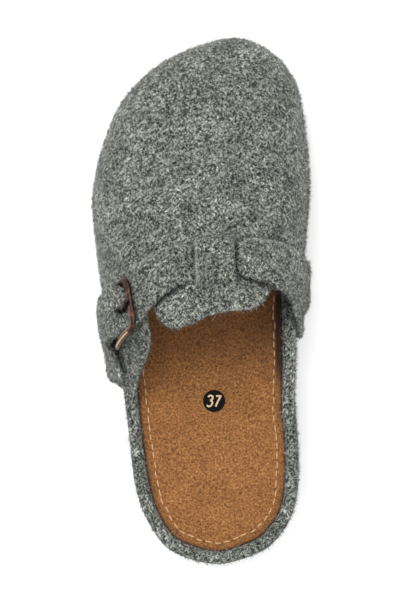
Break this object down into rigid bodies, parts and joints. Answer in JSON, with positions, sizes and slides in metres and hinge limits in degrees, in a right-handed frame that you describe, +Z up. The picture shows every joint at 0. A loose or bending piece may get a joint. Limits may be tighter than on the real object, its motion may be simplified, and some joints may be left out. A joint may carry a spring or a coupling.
{
  "type": "house slipper",
  "caption": "Felt clog for the left foot with a closed toe, open back, moulded footbed and a buckled instep strap that runs through a keeper in the upper",
  "frame": {"origin": "floor point under the middle of the whole shoe", "axes": "+X to the inner side of the foot, +Y to the toe, +Z up"},
  "size_m": [0.1054, 0.2558, 0.0805],
  "materials": {
    "sole_rubber": "matt moulded rubber",
    "cork": "cork and latex, matt",
    "suede": "suede nap",
    "felt": "thick mottled grey wool felt",
    "buckle_metal": "dark antiqued gloss"
  },
  "bodies": {
    "root": {"outsole": "sole_rubber", "footbed": "cork", "insole": "suede", "wrap": "felt", "upper": "felt", "quarter": "felt", "strap": "felt", "buckle_frame": "buckle_metal", "buckle_prong": "buckle_metal"}
  },
  "joints": []
}
